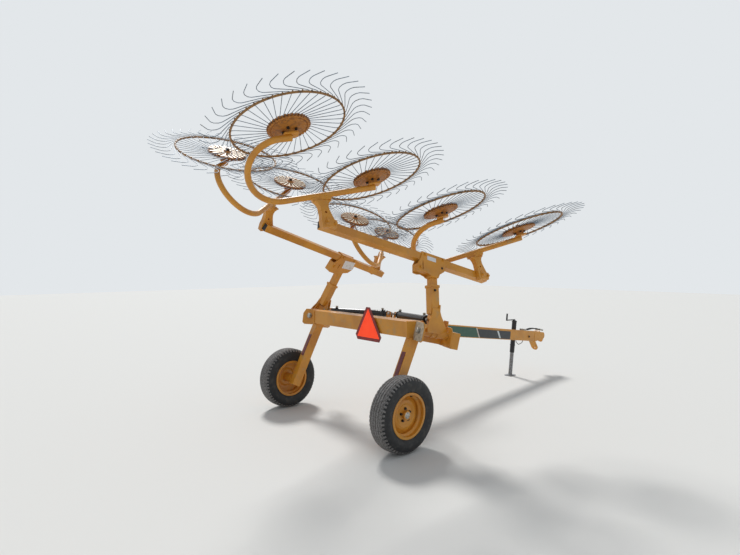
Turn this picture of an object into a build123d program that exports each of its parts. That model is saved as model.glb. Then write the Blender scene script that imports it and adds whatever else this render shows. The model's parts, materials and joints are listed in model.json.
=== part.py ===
from build123d import *
import math
import os

os.makedirs("parts", exist_ok=True)

# Frame: X forward to the hitch, Y to the machine's left, Z up, ground at Z = 0.
# Sizes in millimetres, angles in degrees. The model is laid out with the middle
# of the axle line as its origin, and save() moves it to the shared frame.

# Place of the axle line in the shared frame
AXLE_X = -1197.0
CENTRE_Y = 167.0

# Fits: gap of a running or sliding fit, and of a piece laid in its seat
FIT = 0.3

# Chassis
TRACK = 1924.0
BEAM_X = 326.0
BEAM_Z = 1060.0
BEAM_SIZE = 152.0
WALL = 6.4
TONGUE_W = 102.0
TONGUE_START_Z = 1023.0
TONGUE_END_X = 3830.0
TONGUE_END_Z = 571.0
LEG_W = 76.0
LEG_H = 102.0
LEG_INSET = 182.0
SPINDLE_R = 28.0

# Transport wheels
TYRE_R = 343.0
TYRE_W = 205.0
RIM_R = 206.0
RIM_W = 172.0
BEAD_R = 190.0
WELL_R = 172.0
SHEET = 6.0
HUB_R = 52.0

# Fold pivots: centre of the right one, toe-out and dip of its axis
PIVOT_X = 414.0
PIVOT_Y = 964.0
PIVOT_Z = 1030.0
TOE = 23.1
DIP = 12.6
PIN_R = 22.0
PIN_HEAD_R = 34.0
BARREL_R = 38.0
BRACKET_HALF = 140.0
BRACKET_IN = 100.0
BRACKET_WEB = 20.0
PLATE = 12.0

# Rows at work, seen from the fold pivot: X rearward to forward along the V's base
# direction, Y inboard. The columns give the turn from work to the parked place, the
# saddle's place and the beam's own V angle.
V_ANGLE = 26.0
ROWS = {
    # side: (fold, saddle x, saddle y, saddle z, beam angle)
    "right": (113.3, -57.0, -713.0, -61.0, 26.0),
    "left": (124.6, -87.0, -811.0, -61.0, 28.7),
}

# Lift arms
ARM_SIZE = 89.0
ARM_FOOT = 186.0
ARM_END = 470.0
SLIDE_SIZE = 70.0
SLIDE_INSIDE = 150.0
TUBE_WALL = 6.0
CHEEK_GAP = 42.0
CHEEK = 12.0
BELL_HALF = 108.0
BELL_TOP = 300.0

# Rake beams and the posts that carry the rockers
RAKE_BEAM = 76.0
REAR_POST = -1190.0
FRONT_POST = 666.0
BEAM_TAIL = 70.0
POST_REACH = 267.0
POST_DROP = -51.0
POST_SIZE = 60.0
AXLE_ANGLE = 21.8

# Rockers: hook, straight leg and hubs
TUBE_R = 26.0
HOOK_R = 275.0
HOOK_LEG = 93.0
STRAIGHT_LEG = 843.0
PIVOT_ALONG = 336.0
SLANT = 52.9
SKEW = 0.7
HUB_DROP = 93.0
SLEEVE_HALF = 52.0
SLEEVE_R = 38.0
STUB_R = 18.0
SWING = {
    "right_rear": -12.0,
    "right_front": 13.9,
    "left_rear": 12.2,
    "left_front": 15.7,
}

# Rake wheels
TINES = 40
TINE = 7.0
RING_R = 453.0
RING_BAR = 16.0
TIP_R = 682.0
TINE_ROOT = 124.0
ROOT_TURN = 50.0
BEND_R = 567.0
BEND_TURN = 27.4
TIP_TURN = 18.5
DISC_R = 180.0
HUB_PLATE = 10.0
AXLE_R = 14.0

# Fold cylinders
LUG_OUT = 150.0
LUG_UP = 75.0
CYL_R = 38.0
CYL_ROD_R = 16.0
GLAND = 95.0
EYE_R = 26.0
EYE_HALF = 16.0
CYL_PIN_R = 12.0
BASE_Y = 62.0
BASE_Z = 1112.0

# Hitch, parking jack, sign, reflectors and hoses
NOSE_LENGTH = 300.0
JAW_LENGTH = 150.0
JAW_W = 100.0
JAW_PLATE = 22.0
JAW_LEAN = 36.0
JAW_GAP = 168.0
HITCH_BORE_R = 16.5
JACK_X = 3470.0
JACK_R = 34.0
JACK_UP = 190.0
JACK_DOWN = 170.0
SIGN_R = 215.0
SIGN_CORNER = 60.0
SIGN_Y = -227.0
SIGN_Z = 1026.0
HOSE_R = 8.0


def cos(angle):
    return math.cos(math.radians(angle))


def sin(angle):
    return math.sin(math.radians(angle))


def bar(start, end, width, height, up=(0, 0, 1), wall=0.0):
    """Rectangular bar between two points, its height along 'up'."""
    a = Vector(*start)
    b = Vector(*end)
    d = (b - a).normalized()
    side = Vector(*up).cross(d).normalized()
    frame = Plane(origin=a, x_dir=side, z_dir=d)
    length = (b - a).length
    body = extrude(frame * Rectangle(width, height), length)
    if wall:
        body -= extrude(frame * Rectangle(width - 2 * wall, height - 2 * wall), length)
    return body


def rod(start, end, radius, bore=0.0):
    """Round bar or pipe between two points."""
    a = Vector(*start)
    b = Vector(*end)
    frame = Plane(origin=a, z_dir=(b - a).normalized())
    body = extrude(frame * Circle(radius), (b - a).length)
    if bore:
        body -= extrude(frame * Circle(bore), (b - a).length)
    return body


def mirror_y(shape):
    return mirror(shape, about=Plane.XZ)


def save(shape, name):
    export_step(Pos(AXLE_X, CENTRE_Y, 0) * shape, "parts/" + name + ".step")


# Fold axis of the right side, and the plane of its bracket: X inboard, Y up
PIVOT = Vector(PIVOT_X, -PIVOT_Y, PIVOT_Z)
AXIS = Vector(cos(DIP) * cos(TOE), -cos(DIP) * sin(TOE), -sin(DIP))
INBOARD = Vector(0, 0, 1).cross(AXIS).normalized()
UPWARD = AXIS.cross(INBOARD)
BRACKET = Plane(origin=PIVOT, x_dir=INBOARD, z_dir=AXIS)
BASE_TURN = Rot(0, 0, -V_ANGLE)


def saddle_offset(side):
    return Vector(*ROWS[side][1:4])


def row_location(side):
    """Place of the row at work, its origin on the rake beam in the saddle."""
    at = (BASE_TURN * Pos(*saddle_offset(side))).position
    return Pos(*(PIVOT + at)) * Rot(0, 0, -ROWS[side][4])


def arm_location():
    """Place of the arm at work, its origin on the fold pivot."""
    return Pos(*PIVOT) * BASE_TURN


def park(shape, side, location):
    """Carry a shape at work to the parked place of one side."""
    turned = (location * shape).rotate(Axis(PIVOT, AXIS), -ROWS[side][0])
    return turned if side == "right" else mirror_y(turned)


def parked_point(point, side):
    """The parked place of a point of the arm, on the right-hand side of the machine."""
    at = (BASE_TURN * Pos(*point)).position
    turn = Plane(origin=(0, 0, 0), z_dir=AXIS)
    local = turn.to_local_coords(at)
    fold = -ROWS[side][0]
    spun = Vector(
        local.X * cos(fold) - local.Y * sin(fold),
        local.X * sin(fold) + local.Y * cos(fold),
        local.Z,
    )
    return turn.from_local_coords(spun) + PIVOT


# Wheel axle direction in the row, and in the rocker's own frame
AXLE_ROW = Vector(sin(AXLE_ANGLE), cos(AXLE_ANGLE), 0)
AXLE_ROCKER = Vector(sin(SKEW) * cos(SLANT), sin(SLANT), cos(SKEW) * cos(SLANT))
HOOK_END = Vector(HOOK_LEG - PIVOT_ALONG, 0, -2 * HOOK_R)
LEG_END = Vector(STRAIGHT_LEG - PIVOT_ALONG, 0, 0)
POSTS = {"rear": REAR_POST, "front": FRONT_POST}


def rocker_plane(side, place):
    """Plane of the rocker in its row: origin on the pivot, X along the straight leg."""
    span = LEG_END - HOOK_END
    reach = (span - AXLE_ROCKER * span.dot(AXLE_ROCKER)).normalized()
    across = AXLE_ROCKER.cross(reach)
    level = Vector(cos(AXLE_ANGLE), -sin(AXLE_ANGLE), 0)
    down = AXLE_ROW.cross(level)
    swing = SWING[side + "_" + place]
    reach_row = level * cos(swing) + down * sin(swing)
    across_row = AXLE_ROW.cross(reach_row)

    def carried(v):
        return reach_row * reach.dot(v) + across_row * across.dot(v) + AXLE_ROW * AXLE_ROCKER.dot(v)

    origin = Vector(POSTS[place], 0, POST_DROP) - AXLE_ROW * POST_REACH
    return Plane(origin=origin, x_dir=carried(Vector(1, 0, 0)), z_dir=carried(Vector(0, 0, 1)))


# Rake wheel in its own frame, Z along the axle towards the rocker. A tine runs
# out from the hub, over the ring and back round to its tip.
def tine_outline():
    line = [
        (TINE_ROOT * cos(ROOT_TURN), TINE_ROOT * sin(ROOT_TURN)),
        (RING_R, 0.0),
        (BEND_R * cos(BEND_TURN), BEND_R * sin(BEND_TURN)),
        (TIP_R * cos(TIP_TURN), TIP_R * sin(TIP_TURN)),
    ]
    left = []
    right = []
    for i, (x, y) in enumerate(line):
        first = line[max(i - 1, 0)]
        last = line[min(i + 1, len(line) - 1)]
        before = Vector(x - first[0], y - first[1])
        after = Vector(last[0] - x, last[1] - y)
        before = after if i == 0 else before
        after = before if i == len(line) - 1 else after
        square = Vector(-before.Y, before.X).normalized()
        mitre = (square + Vector(-after.Y, after.X).normalized()).normalized()
        reach = TINE / 2 / mitre.dot(square)
        left.append((x + mitre.X * reach, y + mitre.Y * reach))
        right.append((x - mitre.X * reach, y - mitre.Y * reach))
    return left + right[::-1]


tine = extrude(make_face(Polyline(*tine_outline(), close=True)), TINE / 2, both=True)
ring = extrude(Circle(RING_R + RING_BAR / 2) - Circle(RING_R - RING_BAR / 2), RING_BAR / 2, both=True)
hub_top = HUB_DROP - TUBE_R - HUB_PLATE - FIT
rake_wheel = ring + extrude(Circle(DISC_R), HUB_PLATE / 2, both=True)
rake_wheel += Pos(0, 0, HUB_PLATE / 2 + 7) * Cone(96, 60, 14)
rake_wheel += rod((0, 0, 0), (0, 0, hub_top), 40.0)
rake_wheel += [Rot(0, 0, i * 360 / TINES) * tine for i in range(TINES)]
rake_wheel -= rod((0, 0, -20), (0, 0, HUB_DROP), AXLE_R + FIT)


# Rocker in its own frame: origin on its pivot, X along the straight leg
straight = rod((-PIVOT_ALONG, 0, 0), (LEG_END.X, 0, 0), TUBE_R)
hook_leg = rod((-PIVOT_ALONG, 0, -2 * HOOK_R), (HOOK_END.X, 0, -2 * HOOK_R), TUBE_R)
hook_face = Plane(origin=(-PIVOT_ALONG, 0, 0), x_dir=(0, 1, 0), z_dir=(-1, 0, 0)) * Circle(TUBE_R)
hook = revolve(hook_face, Axis((-PIVOT_ALONG, 0, -HOOK_R), (0, 1, 0)), -180)
rocker = straight + hook_leg + hook + rod(AXLE_ROCKER * -SLEEVE_HALF, AXLE_ROCKER * SLEEVE_HALF, SLEEVE_R)
for end in (HOOK_END, LEG_END):
    seat = end - AXLE_ROCKER * TUBE_R
    face = Plane(origin=seat + AXLE_ROCKER * 6, x_dir=(1, 0, 0), z_dir=-AXLE_ROCKER)
    rocker += extrude(face * Rectangle(120, 76), 6 + HUB_PLATE)
    hub_end = end - AXLE_ROCKER * (HUB_DROP + HUB_PLATE / 2)
    rocker += rod(seat, hub_end - AXLE_ROCKER * 16, AXLE_R)
    rocker += rod(hub_end - AXLE_ROCKER * FIT, hub_end - AXLE_ROCKER * 13, 26.0)
rocker -= rod(AXLE_ROCKER * -80, AXLE_ROCKER * 80, STUB_R + FIT)


def posts():
    """Posts of a row, each with the stub that its rocker swings on."""
    made = []
    for x in POSTS.values():
        foot = Vector(x, 0, POST_DROP)
        out = AXLE_ROW * -1
        end = POST_REACH - SLEEVE_HALF - FIT
        post = bar(foot, foot + out * (end - 12), POST_SIZE, POST_SIZE)
        post += rod(foot + out * (end - 14), foot + out * end, 44.0)
        far = POST_REACH + SLEEVE_HALF + FIT
        post += rod(foot + out * (end - 2), foot + out * (far + 12), STUB_R)
        post += rod(foot + out * far, foot + out * (far + 8), 34.0)
        bracket = Pos(x, 0, -RAKE_BEAM / 2 - 25) * Box(110, RAKE_BEAM, 50)
        post += bracket
        made.append(post)
    envelope = Box(2 * (FRONT_POST - REAR_POST), RAKE_BEAM, RAKE_BEAM)
    return made[0] + made[1] - envelope


rake_beam = bar(
    (REAR_POST - BEAM_TAIL, 0, 0), (FRONT_POST + BEAM_TAIL, 0, 0), RAKE_BEAM, RAKE_BEAM, wall=TUBE_WALL
)


def arm_pieces(side):
    """Lift arm and slide tube of one side, in the arm's frame at work."""
    offset = saddle_offset(side)
    out = offset.normalized()
    axis = (BASE_TURN.inverse() * Pos(*AXIS)).position
    lug = out * LUG_OUT + Vector(0, 0, LUG_UP)
    lug = lug - axis * lug.dot(axis)
    inner = bar(out * (ARM_FOOT - 20), out * (ARM_END + 20), SLIDE_SIZE + 2 * FIT, SLIDE_SIZE + 2 * FIT)
    arm = bar(out * ARM_FOOT, out * ARM_END, ARM_SIZE, ARM_SIZE)
    arm += bar(out * (ARM_END - 24), out * ARM_END, ARM_SIZE + 14, ARM_SIZE + 14)
    arm -= inner
    # cheeks either side of the cylinder's eye, from the barrel to the tube
    cheek_plane = Plane(origin=(0, 0, 0), x_dir=out - axis * out.dot(axis), z_dir=axis)
    eye_at = cheek_plane.to_local_coords(lug)
    outline = make_hull(
        (
            Circle(BARREL_R + 8)
            + Pos(eye_at.X, eye_at.Y) * Circle(EYE_R + 4)
            + Pos(ARM_FOOT + 40, 0) * Rectangle(100, ARM_SIZE)
        ).edges()
    )
    for start in (-CHEEK_GAP / 2 - CHEEK, CHEEK_GAP / 2):
        arm += extrude(cheek_plane.offset(start) * outline, CHEEK) - inner
    arm += rod(axis * -(BRACKET_HALF - FIT), axis * (BRACKET_HALF - FIT), BARREL_R)
    # bell-shaped plate from the barrel's full length up to the tube
    across = Vector(0, 0, 1).cross(out).normalized()
    under = out.cross(across)
    bell_plane = Plane(origin=under * (ARM_SIZE / 2 - 10) * -1, x_dir=across, z_dir=under)
    bell = make_face(
        Polyline(
            (-BELL_HALF, 0), (BELL_HALF, 0), (BELL_HALF, 36), (76, 92), (56, 160), (ARM_SIZE / 2, BELL_TOP),
            (-ARM_SIZE / 2, BELL_TOP), (-56, 160), (-76, 92), (-BELL_HALF, 36), close=True,
        )
    )
    bell_solid = extrude(bell_plane * bell, 10)
    if bell_solid.center().dot(out) < 0:
        bell_solid = extrude(bell_plane * (Rot(0, 0, 180) * bell), 10)
    arm += bell_solid
    arm -= rod(axis * -200, axis * 200, PIN_R + FIT)
    for turn in (-1, 1):
        inside = axis * turn * CHEEK_GAP / 2
        arm += rod(lug + inside, lug + inside + axis * turn * (CHEEK + 10), CYL_PIN_R)
    slide = bar(
        out * (ARM_END - SLIDE_INSIDE), offset, SLIDE_SIZE, SLIDE_SIZE, wall=TUBE_WALL
    )
    return arm, slide, lug


def saddle_pieces(side):
    """Saddle round the rake beam, with the collar that the slide tube ends in."""
    arm_to_row = row_location(side).inverse() * arm_location()
    half = RAKE_BEAM / 2
    saddle = Pos(0, half + 6, 0) * Box(290, 12, 150)
    for up in (1, -1):
        saddle += Pos(0, -10, up * (half + 4)) * Box(290, RAKE_BEAM + 44, 8)
        saddle += Pos(0, -half - 22, up * (half + 18)) * Box(290, 20, 36)
    saddle += Pos(0, half + 40, 0) * Box(126, 56, 108)
    return saddle, arm_to_row


for side in ROWS:
    arm, slide, lug = arm_pieces(side)
    saddle, arm_to_row = saddle_pieces(side)
    offset = saddle_offset(side)
    reach = bar(offset * 0.4, offset * 1.02, SLIDE_SIZE + 2 * FIT, SLIDE_SIZE + 2 * FIT)
    seat = Pos(0, RAKE_BEAM / 2 + 13 - 300, 0) * Box(900, 600, 900)
    socket = arm_to_row * reach - seat
    saddle -= socket
    slide -= arm_to_row.inverse() * (Pos(0, FIT, 0) * seat)
    save(park(arm, side, arm_location()), "lift_arm_" + side)
    save(park(slide, side, arm_location()), "slide_tube_" + side)
    row = row_location(side)
    save(park(saddle, side, row), "saddle_" + side)
    save(park(rake_beam, side, row), "rake_beam_" + side)
    save(park(posts(), side, row), "rocker_posts_" + side)
    number = 1
    for place in POSTS:
        plane = rocker_plane(side, place)
        save(park(plane.location * rocker, side, row), "rocker_" + side + "_" + place)
        for end in (HOOK_END, LEG_END):
            hub = Plane(origin=end - AXLE_ROCKER * HUB_DROP, x_dir=(1, 0, 0), z_dir=AXLE_ROCKER)
            wheel = plane.location * hub.location * rake_wheel
            save(park(wheel, side, row), "rake_wheel_" + side + "_" + str(number))
            number += 1


# Crossbeam, mitred to the back of each pivot bracket's web
beam_envelope = Pos(BEAM_X, 0, BEAM_Z) * Box(BEAM_SIZE, 2400, BEAM_SIZE)
crossbeam = bar((BEAM_X, -1000, BEAM_Z), (BEAM_X, 1000, BEAM_Z), BEAM_SIZE, BEAM_SIZE, wall=WALL)
outboard = extrude(
    BRACKET * Pos(BRACKET_IN + BRACKET_WEB - 500, 0, -1500) * Rectangle(1000, 2000), 3000
)
crossbeam -= outboard
crossbeam -= mirror_y(outboard)
save(crossbeam, "crossbeam")

# Tongue
tongue_from = Vector(BEAM_X + BEAM_SIZE / 2, 0, TONGUE_START_Z)
tongue_to = Vector(TONGUE_END_X, 0, TONGUE_END_Z)
TONGUE_DIR = (tongue_to - tongue_from).normalized()
TONGUE_UP = TONGUE_DIR.cross(Vector(0, 1, 0))
tongue = bar(tongue_from - TONGUE_DIR * 40, tongue_to, TONGUE_W, BEAM_SIZE, wall=WALL)
tongue -= Pos(BEAM_X, 0, BEAM_Z - 200) * Box(BEAM_SIZE, 400, 1000)
save(tongue, "tongue")


def on_tongue(x, y, up):
    """Point above the tongue's top face, 'up' measured square to it."""
    along = (x - tongue_from.X) / TONGUE_DIR.X
    return tongue_from + TONGUE_DIR * along + TONGUE_UP * (BEAM_SIZE / 2 + up) + Vector(0, y, 0)


# Wheel legs with their spindles
LEG_Y = TRACK / 2 - LEG_INSET
leg_top = Vector(BEAM_X, -LEG_Y, BEAM_Z - BEAM_SIZE / 2)
leg_foot = Vector(0, -LEG_Y, TYRE_R)
leg_dir = (leg_foot - leg_top).normalized()
hub_face = LEG_Y + LEG_W / 2 + 28
leg = bar(leg_top - leg_dir * 60, leg_foot + leg_dir * 62, LEG_W, LEG_H, up=(1, 0, 0))
leg -= Pos(BEAM_X, 0, BEAM_Z + 200) * Box(BEAM_SIZE + 200, 3000, BEAM_SIZE + 400)
leg += rod((0, -LEG_Y, TYRE_R), (0, -hub_face, TYRE_R), 44.0)
leg += rod((0, -LEG_Y, TYRE_R), (0, -TRACK / 2 - 20, TYRE_R), SPINDLE_R)
wheel_legs = leg + mirror_y(leg)
save(wheel_legs, "wheel_legs")

# Pivot brackets: two plates square to the fold axis and a web that joins them
plate_outline = make_hull(
    (Circle(62) + Pos(BRACKET_IN - 10, -22) * Rectangle(2 * BRACKET_WEB + 20, 130)).edges()
)
bracket = extrude(
    BRACKET * Pos(BRACKET_IN + BRACKET_WEB / 2, -40, -BRACKET_HALF) * Rectangle(BRACKET_WEB, 94),
    2 * BRACKET_HALF,
)
cap = extrude(
    BRACKET * Pos(BRACKET_IN + BRACKET_WEB / 2, 26, -BRACKET_HALF - 60) * Rectangle(BRACKET_WEB, 158), 132
)
bracket += cap
for at in (-BRACKET_HALF - PLATE, BRACKET_HALF):
    bracket += extrude(BRACKET * Pos(0, 0, at) * plate_outline, PLATE)
bracket -= crossbeam
bracket -= leg
bracket -= rod(PIVOT - AXIS * 200, PIVOT + AXIS * 200, PIN_R + FIT)
save(bracket + mirror_y(bracket), "pivot_brackets")
head_at = BRACKET_HALF + PLATE + FIT
pin = rod(PIVOT - AXIS * (head_at + 18), PIVOT + AXIS * (head_at + 18), PIN_R)
for turn in (-1, 1):
    pin += rod(PIVOT + AXIS * turn * head_at, PIVOT + AXIS * turn * (head_at + 14), PIN_HEAD_R)
save(pin + mirror_y(pin), "pivot_pins")

# Transport wheel in its own frame, Z outward
half_rim = RIM_W / 2
rim_outline = Polyline(
    (RIM_R, -half_rim), (RIM_R, -half_rim + 8), (BEAD_R, -half_rim + 8), (BEAD_R, -50), (WELL_R, -36),
    (WELL_R, 36), (BEAD_R, 50), (BEAD_R, half_rim - 8), (RIM_R, half_rim - 8), (RIM_R, half_rim),
    (BEAD_R - SHEET, half_rim), (BEAD_R - SHEET, 52), (WELL_R - SHEET, 38), (WELL_R - SHEET, -38),
    (BEAD_R - SHEET, -52), (BEAD_R - SHEET, -half_rim), close=True,
)
disc_outline = Polyline(
    (WELL_R - 2, 12), (130, 36), (108, 42), (86, 30), (HUB_R - 8, 30), (HUB_R - 8, 22), (88, 22),
    (110, 33), (128, 28), (WELL_R - 2, 4), close=True,
)
rim = revolve(Plane.XZ * make_face(rim_outline), Axis.Z)
rim += revolve(Plane.XZ * make_face(disc_outline), Axis.Z)
hub_back = hub_face - TRACK / 2 + FIT
rim += rod((0, 0, hub_back), (0, 0, 30), HUB_R)
rim += rod((0, 0, 28), (0, 0, 62), 40.0)
rim -= rod((0, 0, hub_back - 10), (0, 0, 20 + FIT), SPINDLE_R + FIT)
half_tyre = TYRE_W / 2
bead = half_rim - 8 - FIT
tyre_outline = Polyline(
    (BEAD_R + FIT, -bead), (RIM_R + FIT, -bead), (RIM_R + 12, -half_tyre + 12), (265, -half_tyre),
    (312, -half_tyre + 8), (334, -half_tyre + 26), (TYRE_R, -44), (TYRE_R, 44), (334, half_tyre - 26),
    (312, half_tyre - 8), (265, half_tyre), (RIM_R + 12, half_tyre - 12), (RIM_R + FIT, bead),
    (BEAD_R + FIT, bead), close=True,
)
tyre = revolve(Plane.XZ * make_face(tyre_outline), Axis.Z)
for side, sign in (("right", -1), ("left", 1)):
    hub = Plane(origin=(0, sign * TRACK / 2, TYRE_R), x_dir=(1, 0, 0), z_dir=(0, sign, 0))
    save(hub.location * rim, "wheel_rim_" + side)
    save(hub.location * tyre, "tyre_" + side)

# Fold cylinders, in the plane square to the fold axis, and their lugs on the tongue
base_x = PIVOT_X - ((PIVOT_Y - BASE_Y) * AXIS.Y + (BASE_Z - PIVOT_Z) * AXIS.Z) / AXIS.X
BASE = Vector(base_x, -BASE_Y, BASE_Z)
for side in ROWS:
    eye = parked_point(arm_pieces(side)[2], side)
    line = (eye - BASE).normalized()
    length = (eye - BASE).length
    gland = BASE + line * (length - GLAND)
    cylinder = rod(BASE + line * 34, gland, CYL_R)
    cylinder += rod(BASE - AXIS * EYE_HALF, BASE + AXIS * EYE_HALF, EYE_R + 2)
    cylinder += bar(BASE, BASE + line * 60, 2 * EYE_HALF, 40, up=AXIS.cross(line))
    cylinder += rod(gland - line * 40, gland, CYL_R + 6)
    for at in (90.0, length - GLAND - 60):
        port = BASE + line * at
        cylinder += rod(port, port + Vector(0, 0, 54), 11.0)
    cylinder -= rod(BASE - AXIS * 40, BASE + AXIS * 40, CYL_PIN_R + FIT)
    cylinder -= rod(BASE + line * 250, gland + line * 5, CYL_ROD_R + FIT)
    piston = rod(BASE + line * 330, eye - line * (EYE_R - 8), CYL_ROD_R)
    piston += rod(eye - AXIS * EYE_HALF, eye + AXIS * EYE_HALF, EYE_R)
    if side == "left":
        cylinder = mirror_y(cylinder)
        piston = mirror_y(piston)
    save(cylinder, "cylinder_barrel_" + side)
    save(piston, "cylinder_rod_" + side)

lugs = bar(on_tongue(BASE.X - 62, 0, 6), on_tongue(BASE.X + 62, 0, 6), 170, 12, up=TONGUE_UP)
for mirrored in (False, True):
    for turn in (-1, 1):
        at = BASE + AXIS * turn * (EYE_HALF + 5 + 6)
        above = (at - on_tongue(at.X, at.Y, 2)).dot(TONGUE_UP)
        foot = at - UPWARD * (above / UPWARD.dot(TONGUE_UP))
        ear = rod(at - AXIS * 6, at + AXIS * 6, EYE_R + 2)
        ear += bar(at, foot, 12, 2 * EYE_R, up=INBOARD)
        lugs += mirror_y(ear) if mirrored else ear
    cross = rod(BASE - AXIS * (EYE_HALF + 22), BASE + AXIS * (EYE_HALF + 22), CYL_PIN_R)
    lugs += mirror_y(cross) if mirrored else cross
lugs -= bar(on_tongue(BASE.X - 200, 0, -60), on_tongue(BASE.X + 200, 0, -60), 300, 120, up=TONGUE_UP)
save(lugs, "cylinder_lugs")

# Hitch: a nose on the tongue's end, with two jaws turned down and a pin hole through both
nose_to = tongue_to + TONGUE_DIR * NOSE_LENGTH
nose_plane = Plane(origin=tongue_to - Vector(0, TONGUE_W / 2, 0), x_dir=TONGUE_DIR, z_dir=(0, 1, 0))
nose_half = BEAM_SIZE / 2
nose_outline = make_hull(
    (
        Pos(20, 0) * Rectangle(40, 2 * nose_half)
        + Pos(NOSE_LENGTH - 52, -nose_half + 56) * Circle(54)
    ).edges()
)
hitch = extrude(nose_plane * nose_outline, TONGUE_W)
if (hitch.center() - tongue_to).dot(TONGUE_DIR) < 0:
    hitch = extrude(nose_plane * (Rot(0, 0, 180) * nose_outline), TONGUE_W)
jaw_dir = Vector(sin(JAW_LEAN), 0, -cos(JAW_LEAN))
jaw_square = Vector(cos(JAW_LEAN), 0, sin(JAW_LEAN))
under = tongue_to + TONGUE_DIR * 12 - TONGUE_UP * (nose_half - 16)
for step in (0.0, JAW_GAP + JAW_PLATE):
    root = under + jaw_square * step
    tip = root + jaw_dir * JAW_LENGTH
    jaw = bar(root - jaw_dir * 20, tip, JAW_W, JAW_PLATE, up=jaw_square)
    jaw += rod(tip - jaw_square * JAW_PLATE / 2, tip + jaw_square * JAW_PLATE / 2, JAW_W / 2)
    hitch += jaw
hitch_pin = under + jaw_dir * JAW_LENGTH
hitch -= rod(hitch_pin - jaw_square * 100, hitch_pin + jaw_square * 400, HITCH_BORE_R)
hitch -= bar(tongue_to - TONGUE_DIR * 300, tongue_to, 300, 600, up=TONGUE_UP)
save(hitch, "hitch_clevis")

# Parking jack on the tongue's left side
jack_at = on_tongue(JACK_X, TONGUE_W / 2 + 12 + JACK_R, -BEAM_SIZE / 2)
bore = JACK_R - 6
jack = rod(jack_at - TONGUE_UP * JACK_DOWN, jack_at + TONGUE_UP * JACK_UP, JACK_R)
jack += rod(jack_at + TONGUE_UP * JACK_UP, jack_at + TONGUE_UP * (JACK_UP + 14), JACK_R + 4)
jack += bar(jack_at, jack_at - Vector(0, JACK_R + 12, 0), 96, 96, up=TONGUE_UP)
jack -= rod(jack_at - TONGUE_UP * (JACK_DOWN + 10), jack_at + TONGUE_UP * (JACK_UP - 20), bore)
save(jack, "jack_body")
head = jack_at + TONGUE_UP * (JACK_UP + 14)
elbow = head + TONGUE_UP * 22
knob = elbow + Vector(-150, 40, 0)
crank = rod(head, elbow + TONGUE_UP * 8, 11.0)
crank += rod(elbow, knob, 8.0)
crank += rod(knob - TONGUE_UP * 8, knob + TONGUE_UP * 100, 12.0)
save(crank, "jack_crank")
foot = jack_at - TONGUE_UP * ((jack_at.Z - 6) / TONGUE_UP.Z)
leg = rod(foot, jack_at - TONGUE_UP * (JACK_DOWN - 60), bore - FIT, bore - 6)
leg += Pos(foot.X, foot.Y, 6) * Box(130, 110, 12)
save(leg, "jack_leg")

# Slow-vehicle sign on the crossbeam's rear face
stand_off = 16.0
sign_x = BEAM_X - BEAM_SIZE / 2 - stand_off
corners = []
for i in range(3):
    turn = 90 + 120 * i
    for shift in (-SIGN_CORNER / 2, SIGN_CORNER / 2):
        corners.append((SIGN_R * cos(turn) - sin(turn) * shift, SIGN_R * sin(turn) + cos(turn) * shift))
sign_face = Plane(origin=(sign_x, SIGN_Y, SIGN_Z), x_dir=(0, -1, 0), z_dir=(-1, 0, 0))
sign_plate = extrude(sign_face * make_face(Polyline(*corners, close=True)), 3)
for y in (-46.0, 46.0):
    sign_plate += Pos(sign_x + stand_off / 2, SIGN_Y + y, BEAM_Z) * Box(stand_off, 24, 90)
save(sign_plate, "slow_sign")

# Reflector strips on the wheel legs' rear faces
leg_back = Vector(0, 1, 0).cross(leg_dir).normalized()
leg_back = leg_back if leg_back.X < 0 else leg_back * -1
strip_mid = leg_top + (leg_foot - leg_top) * 0.42 + leg_back * (LEG_H / 2 + 2)
strip = bar(strip_mid - leg_dir * 130, strip_mid + leg_dir * 130, 48, 4, up=leg_back)
save(strip + mirror_y(strip), "reflector_strips")

# Hoses that come up through the tongue near its end, and their couplers
hoses = []
couplers = bar(on_tongue(3540, 0, 12), on_tongue(3586, 0, 12), 80, 24, up=TONGUE_UP)
for y in (-20.0, 20.0):
    run = (
        on_tongue(3586, y, 14), on_tongue(3660, y, 14), on_tongue(3790, y * 1.1, 40),
        on_tongue(3900, y * 1.3, 46), on_tongue(3990, y * 1.6, 38),
    )
    path = FilletPolyline(*run, radius=180)
    hoses.append(sweep(Plane(origin=path @ 0, z_dir=path % 0) * Circle(HOSE_R), path=path))
    tip = path @ 1
    aim = path % 1
    couplers += rod(tip, tip + aim * 90, 13.0)
save(hoses[0] + hoses[1], "hydraulic_hoses")
save(couplers, "hose_couplers")
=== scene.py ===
import json
import math

import bpy
from mathutils import Matrix, Vector


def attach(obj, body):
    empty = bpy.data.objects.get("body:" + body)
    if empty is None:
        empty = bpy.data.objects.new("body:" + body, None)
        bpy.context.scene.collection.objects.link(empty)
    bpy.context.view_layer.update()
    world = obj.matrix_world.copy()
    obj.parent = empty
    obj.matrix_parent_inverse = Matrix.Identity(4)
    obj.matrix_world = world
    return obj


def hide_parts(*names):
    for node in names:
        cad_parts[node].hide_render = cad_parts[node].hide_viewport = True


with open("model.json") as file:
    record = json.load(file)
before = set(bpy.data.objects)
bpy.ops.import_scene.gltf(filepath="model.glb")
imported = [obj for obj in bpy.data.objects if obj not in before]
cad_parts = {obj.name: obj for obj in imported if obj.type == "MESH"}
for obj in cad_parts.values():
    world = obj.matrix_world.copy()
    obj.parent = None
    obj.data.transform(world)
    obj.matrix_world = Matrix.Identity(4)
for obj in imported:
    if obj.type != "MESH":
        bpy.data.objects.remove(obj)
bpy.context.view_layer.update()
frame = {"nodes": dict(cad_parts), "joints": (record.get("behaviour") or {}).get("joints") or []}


# Painted frame of the rake: crossbeam, tongue, wheel legs, arms and beams. Square and flat
# steel, welded, shot-blasted and sprayed with orange-yellow machine enamel, which summers in
# the open have faded in patches and covered with dust.
RESIN_IOR = 1.5


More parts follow.
